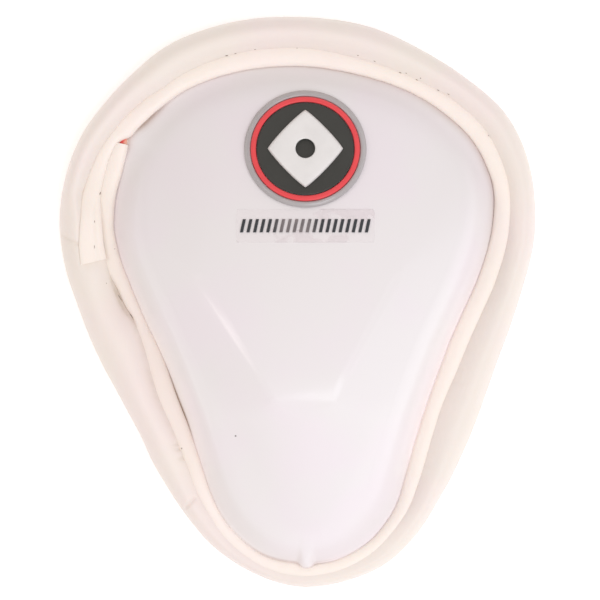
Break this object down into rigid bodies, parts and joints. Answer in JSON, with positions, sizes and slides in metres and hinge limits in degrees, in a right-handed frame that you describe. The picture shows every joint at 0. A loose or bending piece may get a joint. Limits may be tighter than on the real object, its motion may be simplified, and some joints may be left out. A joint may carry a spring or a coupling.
{
  "type": "abdominal guard",
  "caption": "Hollow hard cup with a flange held in a padded rim and a rolled edge strip, with a plain badge and a clear label on its face.",
  "frame": {"origin": "centre of the bounding box's bottom, on the flat back of the rim", "axes": "+X across the guard to its right as seen from its face, +Y from the narrow tip to the waist edge, +Z out of its back through the cup"},
  "size_m": [0.138, 0.1656, 0.0494],
  "materials": {
    "cup_shell": "milky white moulded plastic, semi-gloss",
    "rim_pad": "cream leathercloth over foam, fine grain, satin",
    "edge_binding": "cream leathercloth rolled round a core, satin",
    "binding_core_end": "cut end of red fibre core",
    "badge_bezel": "clear resin over grey, glossy",
    "badge_ring": "red enamel-like print, glossy",
    "badge_field": "black rubber-like plastic, satin",
    "badge_emblem": "raised white plastic, semi-gloss",
    "clear_label": "thin clear film, glossy"
  },
  "bodies": {
    "root": {"cup_shell": "cup_shell", "rim_pad": "rim_pad", "edge_binding": "edge_binding", "binding_core_end": "binding_core_end", "badge_bezel": "badge_bezel", "badge_ring": "badge_ring", "badge_field": "badge_field", "badge_emblem": "badge_emblem", "clear_label": "clear_label"}
  },
  "joints": []
}
